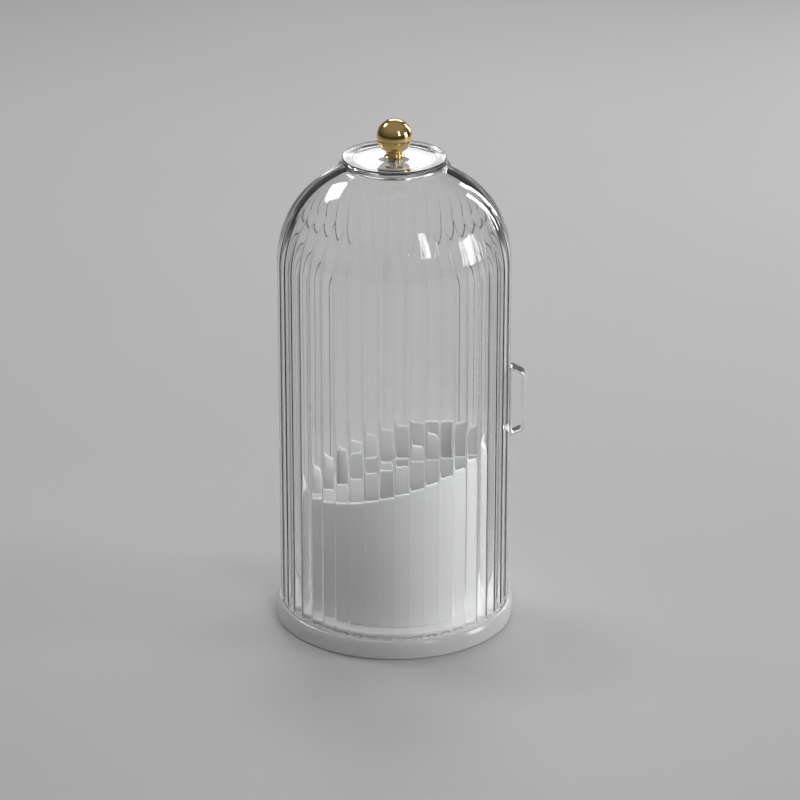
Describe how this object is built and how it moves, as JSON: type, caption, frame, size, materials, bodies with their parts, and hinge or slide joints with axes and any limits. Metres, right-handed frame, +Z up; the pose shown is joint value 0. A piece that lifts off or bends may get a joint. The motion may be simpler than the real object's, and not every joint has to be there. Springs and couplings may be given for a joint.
{
  "type": "rotating makeup brush holder",
  "caption": "Free-standing round holder with a rotating slanted cup of compartments under a clear ribbed dome whose front half turns open and whose lid lifts off.",
  "frame": {"origin": "centre of the underside, on the axis that the cup and the door turn about", "axes": "+Z up along the axis, -Y towards the front, +X towards the door's handle"},
  "size_m": [0.139, 0.1328, 0.2903],
  "materials": {
    "white_gloss": "glossy moulded",
    "white_matte": "fine matt moulded",
    "clear_plastic": "clear polished",
    "gold": "polished gold plating",
    "steel": "bright zinc plated",
    "silicone": "soft matt",
    "acetal": "smooth"
  },
  "bodies": {
    "base": {"base_shell": "white_gloss", "bottom_plate": "white_matte", "anti_slip_pad": "silicone", "plate_screws": "steel", "lower_race": "acetal", "hub_bush": "acetal", "rear_cover": "clear_plastic"},
    "carousel": {"turntable": "white_gloss", "upper_race": "acetal", "brush_cup": "white_gloss", "divider_insert": "white_gloss", "cup_screws": "steel", "pivot_washer": "steel", "pivot_screw": "steel"},
    "ball_ring": {"ball_cage": "acetal", "steel_balls": "steel"},
    "door": {"door_shell": "clear_plastic", "door_handle": "clear_plastic"},
    "lid": {"lid_disc": "clear_plastic", "knob_collar": "gold", "knob_ball": "gold", "knob_washer": "steel", "knob_screw": "steel"}
  },
  "joints": [
    {"name": "carousel_turn", "type": "hinge", "parent": "base", "child": "carousel", "pos_m": [0, 0, 0.012], "axis": [0, 0, 1], "continuous": true},
    {"name": "ball_ring_turn", "type": "hinge", "parent": "base", "child": "ball_ring", "pos_m": [0, 0, 0.0078], "axis": [0, 0, 1], "continuous": true},
    {"name": "door_turn", "type": "hinge", "parent": "base", "child": "door", "pos_m": [0, 0, 0.0077], "axis": [0, 0, 1], "range_deg": [0, 168]},
    {"name": "lid_lift", "type": "slide", "parent": "base", "child": "lid", "axis": [0, 0, 1], "range_m": [0, 0.06]}
  ],
  "couplings": [
    {"joint": "ball_ring_turn", "follows": "carousel_turn", "ratio": 0.5}
  ]
}
